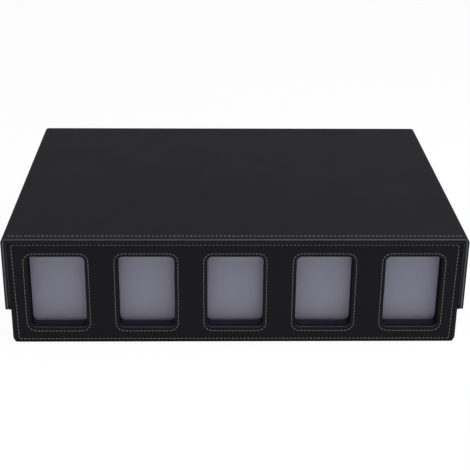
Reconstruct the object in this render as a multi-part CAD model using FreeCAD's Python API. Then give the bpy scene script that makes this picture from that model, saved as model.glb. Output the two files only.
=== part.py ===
import FreeCAD, Part
import math
import os

# Card holders stand upright in rows, one behind another
holder_width = 76.2
holder_height = 101.6
row_count = 5
row_length = 298.5
side_room = 6.6  # spare width in each row, both sides together
head_room = 2.3  # from the holders' tops up to the lid

# Thicknesses of the sheets and boards
leather = 0.9
wall_board = 2.0
side_board = 3.0  # the tray's left and right sides are thicker
lining_panel = 1.6
velvet = 0.6
divider_core = 3.0
backer_core = 3.0

# The thick front wall with its windows
frame_depth = 15.8
window_width = 55.8
window_height = 77.4
window_sill = 16.1  # from the surface the box stands on up to the window
window_corner = 5.5
window_liner = 0.6
pane_thickness = 1.0
pane_side_gap = 0.2
pane_drop = 1.0  # from the rim down to the pane's top
slot_depth = 5.0  # the slot behind each pane that takes one holder

# How far the dividers and the backers stay below the rim
divider_drop = 2.0
backer_drop = 2.0

# The lid: a top with two wings and a back wall, open at the front
lid_gap = 0.4  # between the tray and the lid's walls
lid_overhang = 2.5  # how far the lid's top reaches past the tray's front
wing_height = 75.6  # from the lid's top down to the wings' lower edge
lining_setback = 0.5  # the lid's lining ends this far behind the cover's edge

# Rounded edges, measured on the outside of the cover
lid_fold_radius = 4.0
lid_back_corner_radius = 4.5
lid_edge_radius = 1.2
tray_upright_radius = 2.5
tray_base_side_radius = 5.0
tray_base_front_radius = 1.5
tray_rim_radius = 0.6

# What follows from the sizes above, from the inside of the tray outwards
wall = leather + wall_board + lining_panel
divider = divider_core + 2 * velvet
backer = backer_core + 2 * velvet
row_width = holder_width + side_room
row_pitch = row_width + divider
inside_half = (row_count * row_width + (row_count - 1) * divider) / 2
board_half = inside_half + lining_panel
tray_half = board_half + side_board + leather
lid_half = tray_half + lid_gap + wall
rim = wall + holder_height + head_room
height = rim + wall
wing_foot = height - wing_height

front_depth = leather + frame_depth
tray_depth = front_depth + pane_thickness + slot_depth + backer + row_length + wall
lid_depth = lid_overhang + tray_depth + lid_gap + wall
lid_front = -lid_depth / 2
lid_back = lid_depth / 2
tray_front = lid_front + lid_overhang
tray_back = tray_front + tray_depth
frame_back = tray_front + front_depth
pane_back = frame_back + pane_thickness
backer_front = pane_back + slot_depth
backer_back = backer_front + backer
row_back = tray_back - wall

board_line = leather + wall_board  # from the outside in to the boards' inner faces
floor_board_top = board_line
board_top = rim - leather
past = 5.0  # how far a cutting block runs past what it cuts


def block(x0, x1, y0, y1, z0, z1):
    corner = FreeCAD.Vector(x0, y0, z0)
    return Part.makeBox(x1 - x0, y1 - y0, z1 - z0, corner)


def rounded_face(u0, u1, v0, v1, radii, place):
    """A rectangle with its own radius at each corner, from low u and low v round through high u."""
    corners = [(u0, v0), (u1, v0), (u1, v1), (u0, v1)]
    ways = [(1, 0), (0, 1), (-1, 0), (0, -1)]
    starts = []
    ends = []
    edges = []
    arcs = []
    for number, (u, v) in enumerate(corners):
        radius = max(radii[number], 0)
        before = ways[number - 1]
        after = ways[number]
        bulge = radius * (1 - math.sqrt(0.5))
        starts.append((u - before[0] * radius, v - before[1] * radius))
        ends.append((u + after[0] * radius, v + after[1] * radius))
        arcs.append((u + (after[0] - before[0]) * bulge, v + (after[1] - before[1]) * bulge))
    for number in range(len(corners)):
        if radii[number] > 0:
            points = [place(*starts[number]), place(*arcs[number]), place(*ends[number])]
            edges.append(Part.Arc(*points).toShape())
        following = starts[(number + 1) % len(corners)]
        edges.append(Part.makeLine(place(*ends[number]), place(*following)))
    return Part.Face(Part.Wire(edges))


def rounded_block(size, inset, elevation, plan, profile):
    """A block whose three outlines each have their own corner radii, drawn in by one layer."""
    x0, x1, y0, y1, z0, z1 = size
    x0, y0, z0 = x0 + inset, y0 + inset, z0 + inset
    x1, y1, z1 = x1 - inset, y1 - inset, z1 - inset
    seen_from_front = rounded_face(
        x0, x1, z0, z1, [r - inset for r in elevation], lambda x, z: FreeCAD.Vector(x, y0, z)
    )
    seen_from_above = rounded_face(
        x0, x1, y0, y1, [r - inset for r in plan], lambda x, y: FreeCAD.Vector(x, y, z0)
    )
    seen_from_side = rounded_face(
        y0, y1, z0, z1, [r - inset for r in profile], lambda y, z: FreeCAD.Vector(x0, y, z)
    )
    solid = seen_from_front.extrude(FreeCAD.Vector(0, y1 - y0, 0))
    solid = solid.common(seen_from_above.extrude(FreeCAD.Vector(0, 0, z1 - z0)))
    return solid.common(seen_from_side.extrude(FreeCAD.Vector(x1 - x0, 0, 0)))


def lid_block(inset):
    """The lid's outer form, with its lower side and front still closed."""
    return rounded_block(
        (-lid_half, lid_half, lid_front, lid_back, wing_foot, height),
        inset,
        elevation=(lid_edge_radius, lid_edge_radius, lid_fold_radius, lid_fold_radius),
        plan=(lid_edge_radius, lid_edge_radius, lid_back_corner_radius, lid_back_corner_radius),
        profile=(lid_edge_radius, lid_edge_radius, lid_fold_radius, lid_edge_radius),
    )


def tray_block(inset):
    """The tray's outer form, with its top still closed."""
    return rounded_block(
        (-tray_half, tray_half, tray_front, tray_back, 0, rim),
        inset,
        elevation=(tray_base_side_radius, tray_base_side_radius, tray_rim_radius, tray_rim_radius),
        plan=[tray_upright_radius] * 4,
        profile=(tray_base_front_radius, tray_base_front_radius, tray_rim_radius, tray_rim_radius),
    )


def window_plug(centre, grow, y0, y1):
    """The space of one window, grown by what lies round it."""
    half = window_width / 2 + grow
    outline = rounded_face(
        centre - half,
        centre + half,
        window_sill - grow,
        window_sill + window_height + grow,
        [window_corner + grow] * 4,
        lambda x, z: FreeCAD.Vector(x, y0, z),
    )
    return outline.extrude(FreeCAD.Vector(0, y1 - y0, 0))


def velvet_over(size, on_x, on_y):
    """A board and the velvet that folds over its top and down two of its faces."""
    x0, x1, y0, y1, z0, z1 = size
    core = block(x0 + on_x, x1 - on_x, y0 + on_y, y1 - on_y, z0, z1 - velvet)
    return core, block(*size).cut(core)


def lid_parts():
    inner_half = lid_half - board_line
    cavity_half = lid_half - wall
    inner_back = lid_back - board_line
    inner_top = height - board_line
    lining_front = lid_front + lining_setback
    lining_foot = wing_foot + lining_setback
    cavity_back = lid_back - wall
    inside = block(-inner_half, inner_half, lid_front - past, inner_back, wing_foot - past, inner_top)
    boards = lid_block(leather).cut(inside)
    sides = (lid_front, lid_back, wing_foot, inner_top)
    return {
        "lid_cover": lid_block(0).cut(lid_block(leather)).cut(inside),
        "lid_top_board": boards.common(
            block(-lid_half, lid_half, lid_front, lid_back, inner_top, height)
        ),
        "lid_left_board": boards.common(block(-lid_half, -inner_half, *sides)),
        "lid_right_board": boards.common(block(inner_half, lid_half, *sides)),
        "lid_back_board": boards.common(
            block(-inner_half, inner_half, inner_back, lid_back, wing_foot, inner_top)
        ),
        "lid_top_lining": block(-inner_half, inner_half, lining_front, inner_back, rim, inner_top),
        "lid_left_lining": block(
            -inner_half, -cavity_half, lining_front, inner_back, lining_foot, rim
        ),
        "lid_right_lining": block(
            cavity_half, inner_half, lining_front, inner_back, lining_foot, rim
        ),
        "lid_back_lining": block(
            -cavity_half, cavity_half, cavity_back, inner_back, lining_foot, rim
        ),
    }


def tray_boards():
    form = tray_block(leather)
    inner_back = tray_back - board_line
    upright = (tray_front, tray_back, floor_board_top, rim)
    frame = form.common(
        block(-board_half, board_half, tray_front, frame_back, floor_board_top, rim)
    )
    for centre in row_centres():
        frame = frame.cut(window_plug(centre, window_liner, tray_front - past, frame_back + past))
    return {
        "tray_floor_board": form.common(
            block(-tray_half, tray_half, tray_front, tray_back, 0, floor_board_top)
        ),
        "tray_left_board": form.common(block(-tray_half, -board_half, *upright)),
        "tray_right_board": form.common(block(board_half, tray_half, *upright)),
        "tray_back_board": form.common(
            block(-board_half, board_half, inner_back, tray_back, floor_board_top, rim)
        ),
        "front_window_frame": frame,
    }


def tray_covers():
    """The skin round the tray: the windowed front, one wrap round sides and back, and the base."""
    inside = block(-inside_half, inside_half, frame_back, row_back, wall, rim + past)
    skin = tray_block(0).cut(tray_block(leather)).cut(inside)
    wide = tray_half + past
    front_face = block(-wide, wide, tray_front - past, tray_front + tray_upright_radius, leather, rim)
    front_rim = block(-inside_half, inside_half, tray_front - past, frame_back, board_top, rim)
    front_zone = front_face.fuse(front_rim)
    base_zone = block(-wide, wide, tray_front - past, tray_back + past, 0, leather)
    front = skin.common(front_zone)
    for centre in row_centres():
        front = front.cut(window_plug(centre, 0, tray_front - past, frame_back))
    return {
        "tray_front_cover": front,
        "tray_wrap_cover": skin.cut(front_zone).cut(base_zone),
        "tray_base_cover": skin.common(base_zone),
    }


def tray_linings():
    inner_back = tray_back - board_line
    upright = (frame_back, inner_back, wall, board_top)
    return {
        "floor_lining": block(
            -board_half, board_half, frame_back, inner_back, floor_board_top, wall
        ),
        "left_lining": block(-board_half, -inside_half, *upright),
        "right_lining": block(inside_half, board_half, *upright),
        "back_lining": block(-inside_half, inside_half, row_back, inner_back, wall, board_top),
    }


def row_centres():
    middle = (row_count - 1) / 2
    return [(number - middle) * row_pitch for number in range(row_count)]


def window_parts():
    """For each row: the window's liner and pane, and the velvet backer behind the holder slot."""
    parts = {}
    for number, centre in enumerate(row_centres(), 1):
        left = centre - row_width / 2
        right = centre + row_width / 2
        hole = window_plug(centre, 0, tray_front, frame_back + past)
        tunnel = window_plug(centre, window_liner, tray_front + leather, frame_back)
        parts[f"window_liner_{number}"] = tunnel.cut(hole)
        parts[f"window_pane_{number}"] = block(
            left + pane_side_gap,
            right - pane_side_gap,
            frame_back,
            pane_back,
            wall,
            rim - pane_drop,
        )
        backer_size = (left, right, backer_front, backer_back, wall, rim - backer_drop)
        core, fold = velvet_over(backer_size, 0, velvet)
        parts[f"backer_board_{number}"] = core
        parts[f"backer_velvet_{number}"] = fold
    return parts


def divider_parts():
    parts = {}
    for number, centre in enumerate(row_centres()[1:], 1):
        middle = centre - row_pitch / 2
        size = (
            middle - divider / 2,
            middle + divider / 2,
            frame_back,
            row_back,
            wall,
            rim - divider_drop,
        )
        core, fold = velvet_over(size, velvet, 0)
        parts[f"divider_board_{number}"] = core
        parts[f"divider_velvet_{number}"] = fold
    return parts


os.makedirs("parts", exist_ok=True)
groups = [tray_covers(), tray_boards(), tray_linings(), window_parts(), divider_parts(), lid_parts()]
for group in groups:
    for name, shape in group.items():
        if len(shape.Solids) != 1 or not shape.isValid():
            raise ValueError(f"{name} is not one sound solid")
        shape.Solids[0].exportStep(f"parts/{name}.step")
        print(f"{name}: {shape.Volume / 1000:.2f} cm3")
print(f"outside {2 * lid_half:.1f} x {lid_depth:.1f} x {height:.1f} mm, {row_count} rows of {row_width:.1f} mm")
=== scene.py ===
import math
import random

import bmesh
import bpy
from mathutils import Matrix, Vector
from mathutils.geometry import delaunay_2d_cdt


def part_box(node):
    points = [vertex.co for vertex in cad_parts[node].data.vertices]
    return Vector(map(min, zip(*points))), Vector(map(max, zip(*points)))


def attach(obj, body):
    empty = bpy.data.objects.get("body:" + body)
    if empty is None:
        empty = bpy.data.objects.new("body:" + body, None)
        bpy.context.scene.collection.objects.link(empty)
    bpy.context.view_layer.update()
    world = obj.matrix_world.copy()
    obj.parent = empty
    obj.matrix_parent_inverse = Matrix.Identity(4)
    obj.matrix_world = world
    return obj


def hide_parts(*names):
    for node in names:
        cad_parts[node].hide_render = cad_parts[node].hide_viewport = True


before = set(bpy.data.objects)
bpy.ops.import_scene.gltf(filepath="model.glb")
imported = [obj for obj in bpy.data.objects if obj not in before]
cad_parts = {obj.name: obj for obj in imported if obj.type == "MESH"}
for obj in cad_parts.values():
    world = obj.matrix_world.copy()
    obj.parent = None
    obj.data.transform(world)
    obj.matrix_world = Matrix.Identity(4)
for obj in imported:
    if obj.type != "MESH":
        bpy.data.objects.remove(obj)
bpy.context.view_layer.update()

mm = 0.001
quarter = math.pi / 2
chance = random.Random(11)


class Wire:
    # an output socket that takes part in sums as a number does
    def __init__(self, finish, socket):
        self.finish = finish
        self.socket = socket

    def __getitem__(self, name):
        return Wire(self.finish, self.socket.node.outputs[name])

    def __add__(self, other):
        return self.finish.sum("ADD", self, other)

    def __radd__(self, other):
        return self.finish.sum("ADD", other, self)

    def __sub__(self, other):
        return self.finish.sum("SUBTRACT", self, other)

    def __rsub__(self, other):
        return self.finish.sum("SUBTRACT", other, self)

    def __mul__(self, other):
        return self.finish.sum("MULTIPLY", self, other)

    def __rmul__(self, other):
        return self.finish.sum("MULTIPLY", other, self)


class Finish:
    # the nodes of one material, or of the world
    def __init__(self, owner):
        self.owner = owner
        owner.use_nodes = True
        self.tree = owner.node_tree
        self.tree.nodes.clear()

    def node(self, kind, settings=None, sockets=None):
        made = self.tree.nodes.new("ShaderNode" + kind)
        for name, value in (settings or {}).items():
            if name == "stops":
                for stop, (position, level) in zip(made.color_ramp.elements, value):
                    stop.position = position
                    stop.color = (level, level, level, 1)
            else:
                setattr(made, name, value)
        for name, value in (sockets or {}).items():
            if isinstance(value, Wire):
                self.tree.links.new(value.socket, made.inputs[name])
            else:
                made.inputs[name].default_value = value
        return Wire(self, made.outputs[0]) if made.outputs else made

    def sum(self, operation, one, two):
        return self.node("Math", {"operation": operation}, {0: one, 1: two})

    def noise(self, place, size, detail=2.0, roughness=0.5):
        sockets = {"Vector": place, "Scale": 1 / size, "Detail": detail, "Roughness": roughness}
        return self.node("TexNoise", {}, sockets)

    def between(self, share, one, two):
        # a colour between two others
        return self.node("Mix", {"data_type": "RGBA"}, {0: share, 6: colour(one), 7: colour(two)})[2]

    def bump(self, height, depth, strength=1.0):
        return self.node("Bump", {}, {"Height": height, "Distance": depth, "Strength": strength})

    def close(self, shader):
        kind = "OutputWorld" if isinstance(self.owner, bpy.types.World) else "OutputMaterial"
        self.node(kind, {}, {"Surface": shader})
        return self.owner


def colour(value):
    return value if isinstance(value, Wire) or len(value) == 4 else (*value, 1.0)


def blankFinish(name):
    return Finish(bpy.data.materials.new(name))


# Finishes

leather = {
    "dark": (0.0072, 0.0072, 0.0084),
    "light": (0.0100, 0.0100, 0.0115),
    # the colour of the painted highlights on the leather's edges and lips
    "rubbed": (0.074, 0.074, 0.078),
    "pebble": 1.1 * mm,
    "pebbleDepth": 0.07 * mm,
    "roughness": 0.58,
    "gloss": 0.03,
}


def leatherFinish(name, look):
    finish = blankFinish(name)
    place = finish.node("TexCoord")["Object"]
    wander = finish.noise(place, 2.6 * mm)["Color"]
    reach = [0.9 * mm] * 3
    bent = finish.node("VectorMath", {"operation": "MULTIPLY_ADD"}, {0: wander, 1: reach, 2: place})
    cells = {"Vector": bent, "Scale": 1 / look["pebble"]}
    crease = finish.node("TexVoronoi", {"feature": "DISTANCE_TO_EDGE"}, cells)
    pebble = finish.node("ValToRGB", {"stops": [(0.0, 0.0), (0.22, 1.0)]}, {"Fac": crease})["Color"]
    pores = finish.noise(place, 0.5 * mm, 3.0)["Fac"]
    clouds = finish.noise(place, 60 * mm, 3.0)["Fac"]
    waves = finish.noise(place, 14 * mm, 2.0)["Fac"]
    height = pebble * 0.75 + pores * 0.35
    soft = finish.bump(waves, 0.10 * mm, 0.35)
    grain = finish.node(
        "Bump", {}, {"Height": height, "Distance": look["pebbleDepth"], "Strength": 0.8, "Normal": soft}
    )
    # the wear attribute paints light: lighter, glossier leather for painted highlights on the lid's front edges,
    # the lower window lips and the uprights' rounded edges
    wearAndPaintedLight = finish.node("Attribute", {"attribute_name": "wearAndPaintedLight"})["Fac"] * (0.55 + 0.9 * waves)
    # darker in the grain's creases: painted crease shade, with tone that differs at random
    toneAndCreaseShade = finish.between(clouds * 0.5 + pebble * 0.5, look["dark"], look["light"])
    shader = finish.node("BsdfPrincipled", {}, {
        "Base Color": finish.between(wearAndPaintedLight, toneAndCreaseShade, look["rubbed"]),
        "Roughness": look["roughness"] + 0.10 * (1 - pebble) + 0.12 * (clouds - 0.5) - 0.1 * wearAndPaintedLight,
        "Specular IOR Level": look["gloss"],
        "Coat Weight": wearAndPaintedLight * 0.5,
        "Coat Roughness": 0.34,
        "Normal": grain,
    })
    return finish.close(shader)


velvet = {
    "dark": (0.159, 0.152, 0.218),
    "light": (0.173, 0.166, 0.237),
    "rubbed": (0.173, 0.166, 0.237),
    "pile": 0.45 * mm,
    "pileDepth": 0.05 * mm,
    "sheen": 0.25,
    "gloss": 0.12,
}


def clothFinish(name, look):
    finish = blankFinish(name)
    place = finish.node("TexCoord")["Object"]
    pile = finish.noise(place, look["pile"], 3.0, 0.7)["Fac"]
    nap = finish.noise(place, 16 * mm, 3.0, 0.6)["Fac"]
    brushed = finish.noise(place, 4 * mm, 2.0)["Fac"]
    share = pile * 0.45 + nap * 0.4 + brushed * 0.15
    # the wear attribute paints light: a lighter cloth for the painted light on the window sills and the painted
    # highlights on the linings' front edges
    wearAndPaintedLight = finish.node("Attribute", {"attribute_name": "wearAndPaintedLight"})["Fac"] * (0.7 + 0.6 * brushed)
    shader = finish.node("BsdfPrincipled", {}, {
        "Base Color": finish.between(wearAndPaintedLight, finish.between(share, look["dark"], look["light"]), look["rubbed"]),
        "Roughness": 0.86 + 0.12 * nap,
        "Specular IOR Level": look["gloss"],
        "Sheen Weight": look["sheen"],
        "Sheen Roughness": 0.45,
        "Normal": finish.bump(pile * 0.8 + brushed * 0.4, look["pileDepth"]),
    })
    return finish.close(shader)


lidLiningCloth = {
    "dark": (0.0060, 0.0060, 0.0072),
    "light": (0.0100, 0.0100, 0.0118),
    # the colour of the painted highlights on the lid linings' front edges and beads
    "rubbed": (0.026, 0.026, 0.030),
    "pile": 0.5 * mm,
    "pileDepth": 0.10 * mm,
    "sheen": 0.03,
    "gloss": 0.08,
}

tunnelLining = {
    "dark": (0.0040, 0.0037, 0.0072),
    "light": (0.0062, 0.0057, 0.0108),
    # the colour of the painted light on the window sills
    "rubbed": (0.0320, 0.0295, 0.0490),
    "pile": 0.6 * mm,
    "pileDepth": 0.05 * mm,
    "sheen": 0.0,
    "gloss": 0.04,
}

board = {"dark": (0.27, 0.25, 0.22), "light": (0.40, 0.37, 0.33), "fibre": 1.2 * mm}


def boardFinish(name, look):
    finish = blankFinish(name)
    place = finish.node("TexCoord")["Object"]
    fibres = finish.noise(place, look["fibre"], 5.0, 0.75)["Fac"]
    flecks = finish.node("TexVoronoi", {}, {"Vector": place, "Scale": 1 / (2.4 * mm)})
    shader = finish.node("BsdfPrincipled", {}, {
        "Base Color": finish.between(fibres * 0.8 + flecks * 0.2, look["dark"], look["light"]),
        "Roughness": 0.82 + 0.12 * fibres,
        "Specular IOR Level": 0.25,
        "Normal": finish.bump(fibres, 0.05 * mm),
    })
    return finish.close(shader)


clearSheet = {"colour": (0.93, 0.93, 0.95), "face": 0.05, "edge": 0.42}


def clearFinish(name, look, alpha):
    finish = blankFinish(name)
    place = finish.node("TexCoord")["Object"]
    scuffs = finish.noise(place, 9 * mm, 4.0, 0.7)["Fac"]
    shader = finish.node("BsdfPrincipled", {}, {
        "Base Color": finish.between(scuffs, look["colour"], (0.86, 0.86, 0.90)),
        "Roughness": 0.06 + 0.10 * scuffs,
        "Specular IOR Level": 0.4,
        "Alpha": alpha + 0.03 * (scuffs - 0.5),
    })
    return finish.close(shader)


thread = {"dark": (0.102, 0.102, 0.108), "light": (0.200, 0.200, 0.208), "fibre": 0.28 * mm}


def threadFinish(name, look):
    finish = blankFinish(name)
    place = finish.node("TexCoord")["Object"]
    fibres = finish.noise(place, look["fibre"], 2.0)["Fac"]
    wearAndPaintedLight = finish.noise(place, 22 * mm, 2.0)["Fac"]
    shader = finish.node("BsdfPrincipled", {}, {
        "Base Color": finish.between(fibres * 0.6 + wearAndPaintedLight * 0.4, look["dark"], look["light"]),
        "Roughness": 0.62 + 0.2 * fibres,
        "Specular IOR Level": 0.3,
        "Sheen Weight": 0.1,
        "Normal": finish.bump(fibres, 0.04 * mm),
    })
    return finish.close(shader)


blackLeather = leatherFinish("blackLeather", leather)
lilacVelvet = clothFinish("lilacVelvet", velvet)
darkLiningCloth = clothFinish("darkLiningCloth", lidLiningCloth)
darkTunnelCloth = clothFinish("darkTunnelCloth", tunnelLining)
greyBoard = boardFinish("greyBoard", board)
clearFace = clearFinish("clearFace", clearSheet, clearSheet["face"])
clearEdge = clearFinish("clearEdge", clearSheet, clearSheet["edge"])
greyThread = threadFinish("greyThread", thread)
print("finishes made")


# Making meshes from rows of points

def insideLoop(point, loop):
    # whether a flat point lies within a closed outline
    within = False
    for one, two in zip(loop, loop[1:] + loop[:1]):
        if (one.y > point.y) != (two.y > point.y):
            if point.x < one.x + (two.x - one.x) * (point.y - one.y) / (two.y - one.y):
                within = not within
    return within


class Skin:
    def __init__(self):
        self.points = []
        self.faces = []
        self.wearAndPaintedLight = []

    def row(self, points, wearAndPaintedLight=0.0):
        # the wear attribute holds painted light and painted highlights, with some wear: how much lighter and
        # glossier the skin is painted, for the whole row or for each point
        first = len(self.points)
        self.points.extend(Vector(point) for point in points)
        count = len(self.points) - first
        self.wearAndPaintedLight.extend(wearAndPaintedLight if isinstance(wearAndPaintedLight, list) else [wearAndPaintedLight] * count)
        return list(range(first, len(self.points)))

    def strip(self, one, two, closed=False):
        # a point that serves twice in a row of quads leaves a triangle there
        for i in range(len(one) if closed else len(one) - 1):
            j = (i + 1) % len(one)
            ring = list(dict.fromkeys((one[i], one[j], two[j], two[i])))
            if len(ring) > 2:
                self.faces.append(ring)

    def strips(self, rows, closed=False):
        for one, two in zip(rows, rows[1:]):
            self.strip(one, two, closed)

    def cap(self, ring):
        self.faces.append(list(ring))

    def fill(self, loops, flatten):
        # closes a flat stretch between its outer loop and the holes in it
        order = []
        owner = []
        edges = []
        for number, loop in enumerate(loops):
            start = len(order)
            count = len(loop)
            order += loop
            owner += [number] * count
            edges += [(start + i, start + (i + 1) % count) for i in range(count)]
        flat = [Vector(round(value, 6) for value in flatten(self.points[index])) for index in order]
        found = delaunay_2d_cdt(flat, edges, [], 1, 1e-7, True)
        names = [origins[0] for origins in found[3]]
        outline = flat[:len(loops[0])]
        for face in found[2]:
            ring = [names[i] for i in face]
            owners = {owner[i] for i in ring}
            outOfLoop = owners == {0} and not insideLoop(sum((flat[i] for i in ring), Vector((0, 0))) / 3, outline)
            inHole = len(owners) == 1 and owners != {0}
            if not outOfLoop and not inHole:
                self.faces.append([order[i] for i in ring])

    def rollOver(self, base, outs, ins, profile, closed=False, paintedLightAndWearRows=None):
        # carries a skin on over an edge: outs point off the edge, ins point into the wall
        rows = [base]
        for number, (reach, sink) in enumerate(profile):
            points = [self.points[i] + out * reach + into * sink for i, out, into in zip(base, outs, ins)]
            rows.append(self.row(points, paintedLightAndWearRows[number] if paintedLightAndWearRows else 0.0))
        self.strips(rows, closed)
        return rows[-1]

    def piece(self, name, material, body, slot, replaces=(), thickness=0.0, inside=None):
        mesh = bpy.data.meshes.new(name)
        mesh.from_pydata(self.points, [], self.faces)
        shape = bmesh.new()
        shape.from_mesh(mesh)
        bmesh.ops.recalc_face_normals(shape, faces=shape.faces)
        if inside is not None:
            facing = sum(
                face.calc_area() * face.normal.dot(face.calc_center_median() - inside) for face in shape.faces
            )
            if facing < 0:
                bmesh.ops.reverse_faces(shape, faces=shape.faces)
        shape.to_mesh(mesh)
        shape.free()
        mesh.shade_smooth()
        mesh.set_sharp_from_angle(angle=math.radians(38))
        mesh.materials.append(material)
        if any(self.wearAndPaintedLight):
            mesh.attributes.new("wearAndPaintedLight", "FLOAT", "POINT").data.foreach_set("value", self.wearAndPaintedLight)
        made = bpy.data.objects.new(name, mesh)
        bpy.context.scene.collection.objects.link(made)
        if thickness:
            shell = made.modifiers.new("thickness", "SOLIDIFY")
            shell.thickness = thickness
            shell.offset = -1
        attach(made, body)
        if replaces:
            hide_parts(*replaces)
        return made


def steps(first, last, count):
    return [first + (last - first) * i / count for i in range(count + 1)]


def mix(one, two, share):
    return one + (two - one) * share


def roundIn(radius, height):
    # how far an edge of that radius draws in at a height above its foot
    gone = max(radius - height, 0)
    return radius - math.sqrt(radius * radius - gone * gone)


def bell(value, centre, width):
    return math.exp(-(((value - centre) / width) ** 2))


def edgeProfile(outer, thick, inner):
    # over an edge: a round corner, the edge's face, and a round corner on the inner side
    profile = [(outer * math.sin(a), outer * (1 - math.cos(a))) for a in steps(0, quarter, 6)[1:]]
    profile += [(outer, sink) for sink in steps(outer, thick - inner, 5)[1:-1]]
    for a in steps(0, quarter, 3):
        profile.append((outer - inner * (1 - math.cos(a)), thick - inner + inner * math.sin(a)))
    return profile


def roundedRing(low, high, radius, corner=4):
    # closed outline of a rectangle with round corners, counterclockwise from the lower left one
    ring = []
    centres = [(low[0] + radius, low[1] + radius, 2), (high[0] - radius, low[1] + radius, 3),
               (high[0] - radius, high[1] - radius, 0), (low[0] + radius, high[1] - radius, 1)]
    for u, v, turn in centres:
        for a in steps(turn * quarter, (turn + 1) * quarter, corner):
            ring.append((u + radius * math.cos(a), v + radius * math.sin(a)))
    return ring


def addPanel(skin, low, high, thin, edge, corner, paintedHighlight=0.0):
    # a flat panel with softly rounded edges, with a painted highlight round the edges a little above their middle
    flat = [axis for axis in range(3) if axis != thin]
    edge = min(edge, (high[thin] - low[thin]) / 2 - 0.01 * mm)
    rows = []
    levels = [(low[thin] + edge * (1 - math.cos(a)), edge * (1 - math.sin(a))) for a in steps(0, quarter, 4)]
    levels += [(high[thin] + low[thin] - level, inset) for level, inset in reversed(levels)]
    for level, inset in levels:
        ring = roundedRing(
            (low[flat[0]] + inset, low[flat[1]] + inset),
            (high[flat[0]] - inset, high[flat[1]] - inset),
            max(corner - inset, 0.1 * mm),
        )
        points = []
        for u, v in ring:
            point = Vector()
            point[flat[0]], point[flat[1]], point[thin] = u, v, level
            points.append(point)
        rows.append(skin.row(points, paintedHighlight * bell((level - low[thin]) / (high[thin] - low[thin]), 0.62, 0.22)))
    skin.strips(rows, closed=True)
    skin.cap(rows[0])
    skin.cap(rows[-1])


def slab(name, node, material, body, slot, thin, edge=0.5 * mm, corner=0.6 * mm, paintedHighlight=0.0):
    # a panel in the space of a CAD node
    low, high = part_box(node)
    skin = Skin()
    addPanel(skin, low, high, thin, edge, corner, paintedHighlight)
    return skin.piece(name, material, body, slot, [node], inside=(low + high) / 2)


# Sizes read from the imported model

wrapLow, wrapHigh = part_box("tray_wrap_cover")
faceLow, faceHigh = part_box("tray_front_cover")
lidLow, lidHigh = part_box("lid_cover")
trayHalf = wrapHigh.x
trayBack = wrapHigh.y
trayFront = faceLow.y
trayRim = faceHigh.z
baseTop = wrapLow.z
frameBack = faceHigh.y
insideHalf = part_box("right_lining")[0].x
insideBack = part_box("back_lining")[0].y
middle = Vector((0, 0, trayRim / 2))
skinThickness = 0.5 * mm
leatherThickness = baseTop
linerThickness = 0.6 * mm

trayForm = {
    "upright": 2.5 * mm,
    "baseSide": 5.0 * mm,
    "baseFront": 0.8 * mm,
    "rim": 1.0 * mm,
    "rimInner": 0.4 * mm,
    "seam": 0.12 * mm,
}


# Stitching

stitching = {
    "gap": 0.33,       # the share of the pitch between two stitches
    "lift": -0.04 * mm,
    "sink": 0.30 * mm,
    "groove": 0.16 * mm,
    "hole": 0.22 * mm,
    "width": 0.85 * mm,
}


def grooveDepth(distance, phase):
    # the leather is drawn down along the seam, and most at each hole
    if abs(distance) > 2 * stitching["width"]:
        return 0
    across = math.exp(-((distance / stitching["width"]) ** 2))
    hole = (0.5 + 0.5 * math.cos(2 * math.pi * phase)) ** 4
    near = math.exp(-((distance / (0.55 * stitching["width"])) ** 2))
    return across * stitching["groove"] + near * hole * stitching["hole"]


def stitchRow(skin, holes, outs, radius):
    # one short twisted thread from each hole to the next
    around = 8
    along = 8
    for start, end, outStart, outEnd in zip(holes, holes[1:], outs, outs[1:]):
        run = end - start
        ahead = run.normalized()
        side = ahead.cross((outStart + outEnd).normalized())
        sway = chance.uniform(-0.06, 0.06) * run.length
        trim = stitching["gap"] / 2 + chance.uniform(-0.02, 0.03)
        rows = []
        for k in range(along + 1):
            share = k / along
            out = (outStart + (outEnd - outStart) * share).normalized()
            arch = math.sin(math.pi * share) ** 0.55
            height = mix(-stitching["sink"], stitching["lift"], arch)
            centre = start + run * mix(trim, 1 - trim, share) + out * height
            centre += side * sway * (share - 0.5)
            thick = radius * mix(0.72, 1.0, arch)
            ring = []
            for i in range(around):
                angle = 2 * math.pi * i / around
                lobes = 1 + 0.10 * math.cos(2 * (angle - 1.9 * math.pi * share))
                ring.append(centre + (side * math.cos(angle) + out * math.sin(angle)) * thick * lobes)
            rows.append(skin.row(ring))
        skin.strips(rows, closed=True)
        skin.cap(rows[0])
        skin.cap(rows[-1])


# Front cover of the tray

frontCover = {
    "thread": 0.28 * mm,
    "stitchSide": (6.4 * mm, 4.7 * mm),  # border stitching, from the tray's sides at its foot and head
    "stitchFoot": 3.75 * mm,
    "stitchHead": 2.5 * mm,
    "borderPitch": 3.92 * mm,
    "windowSide": 3.05 * mm,  # window stitching, outside the opening
    "windowFoot": 3.7 * mm,
    "windowHead": 3.15 * mm,
    "windowPitch": 3.65 * mm,
    "windowCorner": 5.5 * mm,
    "sewnWide": {1: (0.85 * mm, 0), 3: (0, -0.4 * mm)},  # windows sewn wider or narrower, left and right
    "lip": 1.35 * mm,         # radius of the leather rolled into the opening
    "lipProud": 0.45 * mm,    # how far it stands into the opening
    "samples": 4,             # points for each stitch
}


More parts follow.
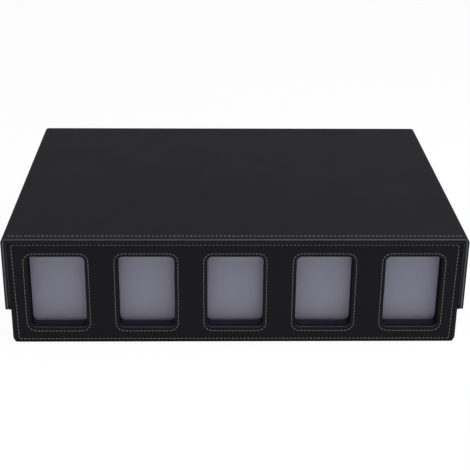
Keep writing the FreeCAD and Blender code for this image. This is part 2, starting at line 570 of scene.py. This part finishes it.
def windowRing(low, high, radius, offset, samples):
    # evenly spaced points and outward directions, measured on an outline of that offset
    width = high[0] - low[0] - 2 * radius
    height = high[1] - low[1] - 2 * radius
    arc = quarter * (radius + offset)
    ring = []
    total = 2 * (width + height) + 4 * arc
    for i in range(samples):
        way = total * i / samples
        u, v, turn = low[0] + radius, low[1] + radius, 3
        for length, step in ((width, (1, 0)), (height, (0, 1)), (width, (-1, 0)), (height, (0, -1))):
            if way <= length:
                u, v = u + step[0] * way, v + step[1] * way
                angle = turn * quarter
                break
            u, v = u + step[0] * length, v + step[1] * length
            way -= length
            if way <= arc:
                angle = turn * quarter + way / arc * quarter
                break
            way -= arc
            turn += 1
        out = (math.cos(angle), math.sin(angle))
        ring.append(((u + radius * out[0], v + radius * out[1]), out))
    return ring


def trayRing(z, inset, corners, half, front, back):
    # arcs of the tray's outline at one height, by corner number from the front left round
    half = half - roundIn(trayForm["baseSide"], z) - inset
    drawn = roundIn(trayForm["baseFront"], z) + inset
    front = front + drawn
    back = back - drawn
    radius = max(trayForm["upright"] - inset, 0.3 * mm)
    centres = [(-half + radius, front + radius, 2), (half - radius, front + radius, 3),
               (half - radius, back - radius, 0), (-half + radius, back - radius, 1)]
    arcs = []
    for number in corners:
        x, y, turn = centres[number]
        arcs.append([
            Vector((x + radius * math.cos(a), y + radius * math.sin(a), z))
            for a in steps(turn * quarter, (turn + 1) * quarter, 8)
        ])
    return arcs


def straight(one, two, shares):
    return [one.lerp(two, share) for share in shares]


def rimLevels():
    radius = trayForm["rim"]
    return [(trayRim - radius + radius * math.sin(a), radius * (1 - math.cos(a))) for a in steps(quarter, 0, 5)]


def frontSkin():
    skin = Skin()
    look = frontCover
    stitches = Skin()
    footRight = trayHalf - look["stitchSide"][0]
    headRight = trayHalf - look["stitchSide"][1]
    foot = look["stitchFoot"]
    head = trayRim - look["stitchHead"]
    acrossCount = round(2 * headRight / look["borderPitch"])
    upCount = round((head - foot) / look["borderPitch"])
    acrossShares = steps(0, 1, acrossCount * look["samples"])
    flatTop = trayRim - trayForm["rim"]
    flatFoot = trayForm["baseFront"]
    heights = steps(flatTop, flatFoot, upCount * look["samples"])
    arc = 8
    # painted highlight down the tray's rounded upright edges, strongest mid-arc
    arcPaintedHighlight = [0.15 * math.sin(math.pi * i / arc) for i in range(arc + 1)]

    def fullRow(z, inset):
        one, two = trayRing(z, inset, (0, 1), trayHalf, trayFront, trayBack)
        between = straight(one[-1], two[0], acrossShares)[1:-1]
        return skin.row(one + between + two, arcPaintedHighlight + [0.0] * len(between) + arcPaintedHighlight[::-1])

    rimRows = [fullRow(z, inset) for z, inset in rimLevels()]
    topRow = rimRows[-1]
    footLevels = steps(flatFoot, baseTop + trayForm["seam"], 3)
    footRows = [fullRow(z, 0) for z in footLevels]
    footRow = footRows[0]
    skin.strips(rimRows)
    skin.strips(footRows)
    leftRows = [topRow[:arc + 1]]
    rightRows = [topRow[-arc - 1:]]
    for z in heights[1:-1]:
        one, two = trayRing(z, 0, (0, 1), trayHalf, trayFront, trayBack)
        leftRows.append(skin.row(one, arcPaintedHighlight))
        rightRows.append(skin.row(two, arcPaintedHighlight[::-1]))
    leftRows.append(footRow[:arc + 1])
    rightRows.append(footRow[-arc - 1:])
    skin.strips(leftRows)
    skin.strips(rightRows)

    # the flat face, from its outline to the border's stitching and on to the windows
    outline = footRow[arc:-arc - 1] + [row[0] for row in reversed(rightRows[1:])]
    outline += list(reversed(topRow[arc + 1:-arc])) + [row[-1] for row in leftRows[:-1]]
    outline = list(dict.fromkeys(outline))
    drop = flatTop - flatFoot
    halfAt = {}
    for row in leftRows:
        point = skin.points[row[-1]]
        halfAt[round(point.z, 7)] = -point.x
    targets = []
    for index in outline:
        point = skin.points[index]
        half = halfAt[round(point.z, 7)]
        targets.append((round((point.x + half) / (2 * half), 6), round((point.z - flatFoot) / drop, 6)))

    def seamPoint(u, w, offset):
        right = mix(footRight, headRight, w) - offset
        return (mix(-right, right, u), mix(foot + offset, head - offset, w))

    rows = [outline]
    for share in (0.45, 0.7, 0.86, 0.95, 1.0):
        ring = []
        for index, (u, w) in zip(outline, targets):
            x, z = seamPoint(u, w, 0)
            start = skin.points[index]
            place = Vector((mix(start.x, x, share), trayFront, mix(start.z, z, share)))
            away = math.hypot(place.x - x, place.z - z)
            onUpright = u < 1e-6 or u > 1 - 1e-6
            phase = w * upCount if onUpright else u * acrossCount
            place.y += grooveDepth(away, phase)
            ring.append(place)
        rows.append(skin.row(ring))
    for offset in (0.12, 0.3, 0.55, 0.9, 1.3, 1.8, 2.3, 2.8):
        ring = []
        for u, w in targets:
            x, z = seamPoint(u, w, offset * mm)
            onUpright = u < 1e-6 or u > 1 - 1e-6
            phase = w * upCount if onUpright else u * acrossCount
            ring.append(Vector((x, trayFront + grooveDepth(offset * mm, phase), z)))
        rows.append(skin.row(ring))
    skin.strips(rows, closed=True)
    loops = [rows[-1]]

    corners = [Vector((-footRight, trayFront, foot)), Vector((footRight, trayFront, foot)),
               Vector((headRight, trayFront, head)), Vector((-headRight, trayFront, head))]
    for one, two, count in zip(corners, corners[1:] + corners[:1], (acrossCount, upCount) * 2):
        holes = straight(one, two, steps(0, 1, count))
        stitchRow(stitches, holes, [Vector((0, -1, 0))] * len(holes), look["thread"])
    stitches.piece("border_stitching", greyThread, "tray", "thread")

    # round each window: a rolled lip, and the stitching's groove
    for number in range(1, 6):
        linerLow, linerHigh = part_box(f"window_liner_{number}")
        low = (linerLow.x + linerThickness, linerLow.z + linerThickness)
        high = (linerHigh.x - linerThickness, linerHigh.z - linerThickness)
        radius = look["windowCorner"]
        side = look["windowSide"]
        around = 2 * (high[0] - low[0] + high[1] - low[1]) - (8 - 2 * math.pi) * radius + 2 * math.pi * side
        count = round(around / look["windowPitch"])
        ring = windowRing(low, high, radius, side, count * look["samples"])
        seam = []
        wider = look["sewnWide"].get(number, (0, 0))
        for place, out in ring:
            far = look["windowFoot"] if out[1] < 0 else look["windowHead"]
            near = side + wider[0 if out[0] < 0 else 1]
            seam.append(mix(near, far, abs(out[1])))
        lip = look["lip"]
        rows = []
        for a in steps(1.56 * quarter, 0, 12):
            points = []
            wearAndPaintedLight = []
            reach = lip * (1 - math.sin(a)) - look["lipProud"]
            for (x, z), out in ring:
                points.append(Vector((x + out[0] * reach, trayFront + lip * (1 - math.cos(a)), z + out[1] * reach)))
                # painted highlight on the top of the lower lips, where light from above falls
                wearAndPaintedLight.append(0.6 * max(-out[1], 0) * bell(a, 0.85 * quarter, 0.4))
            rows.append(skin.row(points, wearAndPaintedLight))
        for value in (-1.5, -1.0, -0.65, -0.35, -0.15, 0.0, 0.15, 0.35, 0.65, 1.05, 1.5, 1.9, 2.4):
            points = []
            for i, ((x, z), out) in enumerate(ring):
                reach = seam[i] + value * mm
                depth = grooveDepth(value * mm, i / look["samples"])
                points.append(Vector((x + out[0] * reach, trayFront + depth, z + out[1] * reach)))
            rows.append(skin.row(points))
        skin.strips(rows, closed=True)
        loops.append(rows[-1])
        holes = []
        for ((x, z), out), offset in list(zip(ring, seam))[::look["samples"]]:
            holes.append(Vector((x + out[0] * offset, trayFront, z + out[1] * offset)))
        holes.append(holes[0])
        stitches = Skin()
        stitchRow(stitches, holes, [Vector((0, -1, 0))] * len(holes), look["thread"])
        stitches.piece(f"window_stitching_{number}", greyThread, "tray", "thread")
    skin.fill(loops, lambda point: Vector((point.x, point.z)))

    # over the rim, back to the inner face of the thick front wall
    seamHalf = insideHalf - trayForm["seam"]
    seamY = skin.points[rimRows[0][0]].y - trayForm["seam"]
    inner = trayForm["rimInner"]
    edge = skin.row(
        Vector((x, frameBack - inner, trayRim)) for x in steps(seamHalf, -seamHalf, 40)
    )
    sides = skin.row([Vector((seamHalf, seamY, trayRim)), Vector((-seamHalf, seamY, trayRim))])
    skin.fill([rimRows[0] + [sides[0]] + edge + [sides[1]]], lambda point: Vector((point.x, point.y)))
    skin.rollOver(
        edge, [Vector((0, 1, 0))] * len(edge), [Vector((0, 0, -1))] * len(edge),
        [(inner * math.sin(a), inner * (1 - math.cos(a))) for a in steps(0, quarter, 3)[1:]]
        + [(inner, leatherThickness)],
    )
    return skin


frontSkin().piece(
    "front_cover", blackLeather, "tray", "cover_leather", ["tray_front_cover"], skinThickness, middle
)
print("front cover made")


# Wrap cover round the sides and the back

def wrapSkin():
    skin = Skin()
    seamY = trayFront + trayForm["upright"] + trayForm["seam"]
    sideShares = steps(0, 1, 40)
    backShares = steps(0, 1, 48)

    def fullRow(z, inset):
        two, three = trayRing(z, inset, (2, 3), trayHalf, trayFront, trayBack)
        start = Vector((two[0].x, seamY, z))
        end = Vector((three[-1].x, seamY, z))
        points = straight(start, two[0], sideShares)[:-1] + two
        points += straight(two[-1], three[0], backShares)[1:-1] + three
        return skin.row(points + straight(three[-1], end, sideShares)[1:])

    wall = trayHalf - insideHalf
    inner = trayForm["rimInner"]
    levels = [(trayRim - leatherThickness, wall)]
    for a in steps(0, quarter, 3):
        levels.append((trayRim - inner * (1 - math.sin(a)), wall - inner * (1 - math.cos(a))))
    levels += [(trayRim, wall / 2)] + rimLevels()
    levels += [(z, 0) for z in steps(trayRim - trayForm["rim"], trayForm["baseSide"], 10)[1:]]
    levels += [(z, 0) for z in steps(trayForm["baseSide"], baseTop + trayForm["seam"], 8)[1:]]
    skin.strips([fullRow(z, inset) for z, inset in levels])
    return skin


wrapSkin().piece(
    "wrap_cover", blackLeather, "tray", "cover_leather", ["tray_wrap_cover"], skinThickness, middle
)


# Base cover

def baseSkin():
    skin = Skin()
    rows = []
    for z in (baseTop, 0.65 * mm, 0.42 * mm, 0.24 * mm, 0.11 * mm, 0.03 * mm, 0.0):
        arcs = trayRing(z, 0, (0, 1, 2, 3), trayHalf, trayFront, trayBack)
        rows.append(skin.row([point for arc in arcs for point in arc]))
    skin.strips(rows, closed=True)
    skin.cap(rows[0])
    skin.cap(rows[-1])
    return skin


baseSkin().piece("base_cover", blackLeather, "tray", "cover_leather", ["tray_base_cover"], inside=middle * 0.01)
print("wrap and base covers made")


# Liners of the window tunnels

def linerSkin(number):
    skin = Skin()
    low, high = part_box(f"window_liner_{number}")
    front = low.y + 0.06 * mm
    back = high.y
    edge = 0.25 * mm
    inside = linerThickness
    levels = [(back, 0.0), (front + edge, 0.0)]
    levels += [(front + edge * (1 - math.sin(a)), edge * (1 - math.cos(a))) for a in steps(0, quarter, 3)[1:]]
    levels += [(front + edge * (1 - math.cos(a)), inside - edge * (1 - math.sin(a))) for a in steps(0, quarter, 3)]
    levels += [(y, inside) for y in steps(front + edge, back, 12)[1:]]
    rows = []
    for y, inset in levels:
        ring = roundedRing(
            (low.x + inset, low.z + inset), (high.x - inset, high.z - inset),
            frontCover["windowCorner"] + inside - inset, 12,
        )
        # painted light: the sill is painted lighter than the sides, and lightest at the back, for the light that
        # falls on it from above and from the velvet panel
        depth = (y - front) / (back - front)
        onSill = [max(1 - (z - low.z) / (4 * mm), 0) for x, z in ring]
        wearAndPaintedLight = [share * (0.04 + 0.90 * depth) for share in onSill]
        rows.append(skin.row([Vector((x, y, z)) for x, z in ring], wearAndPaintedLight))
    skin.strips(rows + rows[:1], closed=True)
    return skin


for number in range(1, 6):
    node = f"window_liner_{number}"
    linerSkin(number).piece(f"tunnel_liner_{number}", darkTunnelCloth, "tray", "window_liner", [node])
    pane = slab(f"clear_pane_{number}", f"window_pane_{number}", clearFace, "tray", "clear_pane", 1, 0.15 * mm)
    pane.data.materials.append(clearEdge)
    for face in pane.data.polygons:
        face.material_index = 0 if abs(face.normal.y) > 0.9 else 1
print("liners and panes made")


# Velvet folded over the dividers and the backers

def foldedOver(name, node, along, material):
    skin = Skin()
    low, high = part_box(node)
    across = 1 - along
    half = (high[across] - low[across]) / 2
    centre = (high[across] + low[across]) / 2
    radius = min(1.3 * mm, half - 0.05 * mm)
    section = [(-half, z) for z in steps(low.z, high.z - radius, 6)[:-1]]
    section += [
        (-half + radius * (1 - math.cos(a)), high.z - radius * (1 - math.sin(a))) for a in steps(0, quarter, 6)
    ]
    section += [(-u, z) for u, z in reversed(section)]
    rows = []
    for place in steps(low[along], high[along], 24):
        points = []
        for u, z in section:
            point = Vector((0, 0, z))
            point[across], point[along] = centre + u, place
            points.append(point)
        rows.append(skin.row(points))
    skin.strips(rows)
    centrePoint = (low + high) / 2
    return skin.piece(name, material, "tray", "velvet", [node], 0.5 * mm, centrePoint)


for number in range(1, 5):
    foldedOver(f"divider_cloth_{number}", f"divider_velvet_{number}", 1, lilacVelvet)
for number in range(1, 6):
    foldedOver(f"backer_cloth_{number}", f"backer_velvet_{number}", 0, lilacVelvet)

for node, thin in (("floor_lining", 2), ("left_lining", 0), ("right_lining", 0), ("back_lining", 1)):
    slab("tray_" + node + "_cloth", node, lilacVelvet, "tray", "velvet", thin, 0.3 * mm)
print("velvet made")


# Lid cover

lidForm = {
    "fold": 4.0 * mm,
    "backCorner": 4.5 * mm,
    "edge": 1.2 * mm,
    "edgeInner": 0.4 * mm,
    "wingEdge": 1.42,          # how much thicker the wings' front edges are
    # the painted highlight along the lid's front edges: its place from the outside, width and strength, on the top
    # and on the wings
    "topRub": (0.45 * mm, 0.45 * mm, 0.62),  # from the outside, width and strength
    "wingRub": (2.3 * mm, 0.55 * mm, 1.0),
    "wall": 2.9 * mm,          # leather and board together
    "stitchBehind": 8.6 * mm,
    "pitch": 4.08 * mm,
    "thread": 0.35 * mm,
    "samples": 4,
    "turnIn": 4.6 * mm,        # height of the leather turned in at the wings' and the back's foot
    "bead": 0.93 * mm,         # radius of the folded front edge of the wings' lining
}


def lidSkin():
    skin = Skin()
    look = lidForm
    fold = look["fold"]
    edge = look["edge"]
    half = lidHigh.x
    foot = lidLow.z
    top = lidHigh.z
    front = lidLow.y
    back = lidHigh.y

    # across the lid: up the left wing, over the top and down the right wing
    side = top - fold - foot - edge
    arc = quarter * fold
    width = 2 * (half - fold)
    total = 2 * side + 2 * arc + width

    def section(way):
        if way <= side:
            return Vector((-half, 0, foot + edge + way)), Vector((-1, 0, 0))
        way -= side
        if way <= arc:
            a = way / fold
            out = Vector((-math.cos(a), 0, math.sin(a)))
            return Vector((-half + fold, 0, top - fold)) + out * fold, out
        way -= arc
        if way <= width:
            return Vector((-half + fold + way, 0, top)), Vector((0, 0, 1))
        way -= width
        if way <= arc:
            a = way / fold
            out = Vector((math.sin(a), 0, math.cos(a)))
            return Vector((half - fold, 0, top - fold)) + out * fold, out
        return Vector((half, 0, top - fold - (way - arc))), Vector((1, 0, 0))

    count = round(total / look["pitch"])
    columns = [section(total * i / (count * look["samples"])) for i in range(count * look["samples"] + 1)]
    seam = front + look["stitchBehind"]
    ys = [front + edge, front + 2.4 * mm, front + 4.6 * mm, front + 6.2 * mm]
    ys += [seam + value * mm for value in (-1.2, -0.8, -0.5, -0.25, 0, 0.25, 0.5, 0.8, 1.2, 1.9)]
    ys += steps(seam + 4 * mm, back - 2 * look["backCorner"], 10)

    def backRadius(out):
        return mix(look["backCorner"], 0.92 * fold, out.z)

    rows = []
    for y in ys:
        points = []
        for i, (place, out) in enumerate(columns):
            depth = grooveDepth(y - seam, i / look["samples"])
            points.append(Vector((place.x, y, place.z)) - out * depth)
        rows.append(skin.row(points))
    normals = [[out for place, out in columns] for y in ys]
    for a in steps(0, quarter, 8):
        points = []
        outs = []
        for place, out in columns:
            radius = backRadius(out)
            y = back - radius + radius * math.sin(a)
            points.append(Vector((place.x, y, place.z)) - out * radius * (1 - math.cos(a)))
            outs.append(out * math.cos(a) + Vector((0, math.sin(a), 0)))
        rows.append(skin.row(points))
        normals.append(outs)
    skin.strips(rows)

    # the back wall
    last = rows[-1]
    leftEnd = skin.points[last[0]]
    rightEnd = skin.points[last[-1]]
    backFoot = skin.row(straight(rightEnd, leftEnd, steps(0, 1, 60)[1:-1]))
    skin.fill([last + backFoot], lambda point: Vector((point.x, point.z)))

    # the edge all round: front, right foot, back foot, left foot
    forward = Vector((0, -1, 0))
    down = Vector((0, 0, -1))
    turn = [forward * math.cos(a) + down * math.sin(a) for a in steps(0, quarter, 5)[1:-1]]
    base = list(rows[0])
    outs = [forward] * len(base)
    ins = [-out * mix(1, look["wingEdge"], abs(out.x)) for out in normals[0]]
    base += [rows[0][-1]] * len(turn)
    outs += turn
    ins += [-normals[0][-1]] * len(turn)
    for row, rowNormals in zip(rows, normals):
        base.append(row[-1])
        outs.append(down)
        ins.append(-rowNormals[-1])
    base += backFoot
    outs += [down] * len(backFoot)
    ins += [forward] * len(backFoot)
    for row, rowNormals in zip(reversed(rows), reversed(normals)):
        base.append(row[0])
        outs.append(down)
        ins.append(-rowNormals[0])
    base += [rows[0][0]] * len(turn)
    outs += list(reversed(turn))
    ins += [-normals[0][0]] * len(turn)
    profile = edgeProfile(edge, look["wall"], look["edgeInner"])
    # painted highlight along the lid's front edges, on the top's rounded edge and the middle of the wings' front
    # edges, also taken as stretched, worn leather there
    paintedLightAndWearRows = []
    for reach, sink in profile:
        wearAndPaintedLight = []
        for out, into in zip(outs, ins):
            onWing = min(abs(into.x), 1)
            centre, width, strength = [mix(one, two, onWing) for one, two in zip(look["topRub"], look["wingRub"])]
            wearAndPaintedLight.append(strength * bell(sink * into.length, centre, width) * max(out.dot(forward), 0))
        paintedLightAndWearRows.append(wearAndPaintedLight)
    skin.rollOver(base, outs, ins, profile, True, paintedLightAndWearRows)

    holes = []
    holeOuts = []
    for place, out in columns[::look["samples"]]:
        holes.append(Vector((place.x, seam, place.z)))
        holeOuts.append(out)
    stitches = Skin()
    stitchRow(stitches, holes, holeOuts, look["thread"])
    stitches.piece("lid_stitching", greyThread, "lid", "thread")
    return skin


lidMiddle = Vector((0, 0, (lidLow.z + lidHigh.z) / 2))
lidSkin().piece("lid_leather", blackLeather, "lid", "cover_leather", ["lid_cover"], skinThickness, lidMiddle)


# Linings of the lid, and the leather turned in below them

def addWingPanel(skin, node, side, foot, head, paintedHighlight):
    # its front edge is folded into a bead that stands before the tray's corner
    low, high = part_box(node)
    outer = max(abs(low.x), abs(high.x))
    inner = min(abs(low.x), abs(high.x))
    bead = lidForm["bead"]
    centre = low.y + bead - 0.25 * mm
    crest = inner - 0.45 * mm
    section = [(inner, high.y)]
    section += [(crest - bead * math.sin(a), centre + bead * math.cos(a)) for a in steps(0, 3 * quarter, 15)]
    section += [(outer, centre + 0.3 * mm), (outer, high.y)]
    # painted highlight on the front of the lining's bead
    wearAndPaintedLight = [paintedHighlight * bell(x, crest, 0.5 * mm) * bell(y, centre - bead, 0.8 * mm) for x, y in section]
    rows = [skin.row([Vector((side * x, y, z)) for x, y in section], wearAndPaintedLight) for z in steps(foot, head, 12)]
    skin.strips(rows, closed=True)
    skin.cap(rows[0])
    skin.cap(rows[-1])


def wingLining(node, side):
    skin = Skin()
    low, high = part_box(node)
    addWingPanel(skin, node, side, lidLow.z + lidForm["turnIn"], high.z, 1.0)
    return skin.piece(node + "_cloth", darkLiningCloth, "lid", "lid_lining", [node], inside=(low + high) / 2)


def turnedIn():
    skin = Skin()
    foot = lidLow.z + 0.05 * mm
    head = lidLow.z + lidForm["turnIn"]
    for node, side in wings.items():
        addWingPanel(skin, node, side, foot, head, 0.0)
    low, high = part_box("lid_back_lining")
    low.z = foot
    high.z = head
    addPanel(skin, low, high, 1, 0.35 * mm, 0.4 * mm)
    return skin.piece("lid_turned_in_leather", blackLeather, "lid", "cover_leather")


wings = {"lid_left_lining": -1, "lid_right_lining": 1}
for node, side in wings.items():
    wingLining(node, side)
# the top lining's edges carry a painted highlight
slab("lid_top_lining_cloth", "lid_top_lining", darkLiningCloth, "lid", "lid_lining", 2, 0.6 * mm, 1.0 * mm, 1.0)
backLow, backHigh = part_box("lid_back_lining")
backLow.z = lidLow.z + lidForm["turnIn"]
backPanel = Skin()
addPanel(backPanel, backLow, backHigh, 1, 0.5 * mm, 0.6 * mm)
backPanel.piece("lid_back_lining_cloth", darkLiningCloth, "lid", "lid_lining", ["lid_back_lining"])
turnedIn()
print("lid made")


# Boards under the covers keep their CAD shape

for name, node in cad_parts.items():
    if name.endswith("_board") or "_board_" in name or name == "front_window_frame":
        node.data.materials.clear()
        node.data.materials.append(greyBoard)
print("boards finished")


# Floor, light and camera

studio = {
    "floor": (0.95, 0.95, 0.95),
    "floorSize": 14.0,
    "floorShadow": 0.05,
    "sky": 0.42,
    "softboxes": [
        # name, place, aimed at, width, depth, power
        ("overheadSoftbox", (0.35, -0.35, 1.2), (0, 0, 0.05), 1.4, 0.9, 14.0),
        ("frontSoftbox", (0.1, -3.0, 0.5), (0, 0, 0.05), 1.8, 0.8, 20.0),
    ],
}


def seenRays(finish):
    # 1 for what the camera sees, straight, mirrored or through a clear thing
    path = finish.node("LightPath")
    both = path["Is Camera Ray"] + path["Is Glossy Ray"] + path["Is Transmission Ray"]
    return finish.sum("MINIMUM", both, 1.0)


def makeStage():
    size = studio["floorSize"] / 2
    ground = Skin()
    ring = roundedRing((-size, -size), (size, size), size * 0.98, 16)
    ground.cap(ground.row(Vector((x, y, -0.05 * mm)) for x, y in ring))
    mesh = bpy.data.meshes.new("paleFloor")
    mesh.from_pydata(ground.points, [], ground.faces)
    floor = bpy.data.objects.new("paleFloor", mesh)
    bpy.context.scene.collection.objects.link(floor)
    finish = blankFinish("paleFloor")
    plain = finish.node("BsdfDiffuse", {}, {"Color": colour(studio["floor"])})
    glow = finish.node("Emission", {}, {"Color": (1, 1, 1, 1), "Strength": 1.0})
    share = seenRays(finish) * (1 - studio["floorShadow"])
    mesh.materials.append(finish.close(finish.node("MixShader", {}, {0: share, 1: plain, 2: glow})))

    world = bpy.data.worlds.new("studio")
    bpy.context.scene.world = world
    finish = Finish(world)
    dim = finish.node("Background", {}, {"Color": (1, 1, 1, 1), "Strength": studio["sky"]})
    white = finish.node("Background", {}, {"Color": (1, 1, 1, 1), "Strength": 1.0})
    finish.close(finish.node("MixShader", {}, {0: seenRays(finish), 1: dim, 2: white}))

    for name, place, target, width, depth, power in studio["softboxes"]:
        lamp = bpy.data.lights.new(name, "AREA")
        lamp.shape = "RECTANGLE"
        lamp.size = width
        lamp.size_y = depth
        lamp.energy = power
        box = bpy.data.objects.new(name, lamp)
        box.location = place
        box.rotation_euler = (Vector(target) - Vector(place)).to_track_quat("-Z", "Y").to_euler()
        bpy.context.scene.collection.objects.link(box)


makeStage()

# The viewing point was fitted to the straight edges of the box
camera = {
    "place": (-24.83 * mm, -1170.68 * mm, 560.48 * mm),
    "pitch": math.radians(23.832),
    "yaw": math.radians(1.365),
    "roll": math.radians(0.549),
    "lens": 87.68,
}


def makeCamera():
    look = camera
    cosPitch = math.cos(look["pitch"])
    forward = Vector((math.sin(look["yaw"]) * cosPitch, math.cos(look["yaw"]) * cosPitch, -math.sin(look["pitch"])))
    right = Vector((math.cos(look["yaw"]), -math.sin(look["yaw"]), 0))
    up = right.cross(forward)
    cosRoll = math.cos(look["roll"])
    sinRoll = math.sin(look["roll"])
    across = right * cosRoll + up * sinRoll
    upward = up * cosRoll - right * sinRoll
    data = bpy.data.cameras.new("camera")
    data.lens = look["lens"]
    data.sensor_width = 36
    data.clip_start = 0.02
    data.clip_end = 60
    made = bpy.data.objects.new("camera", data)
    turn = Matrix((across, upward, -forward)).transposed().to_4x4()
    made.matrix_world = Matrix.Translation(look["place"]) @ turn
    bpy.context.scene.collection.objects.link(made)
    bpy.context.scene.camera = made


makeCamera()
bpy.context.scene.view_settings.view_transform = "Standard"
print("floor, light and camera set")
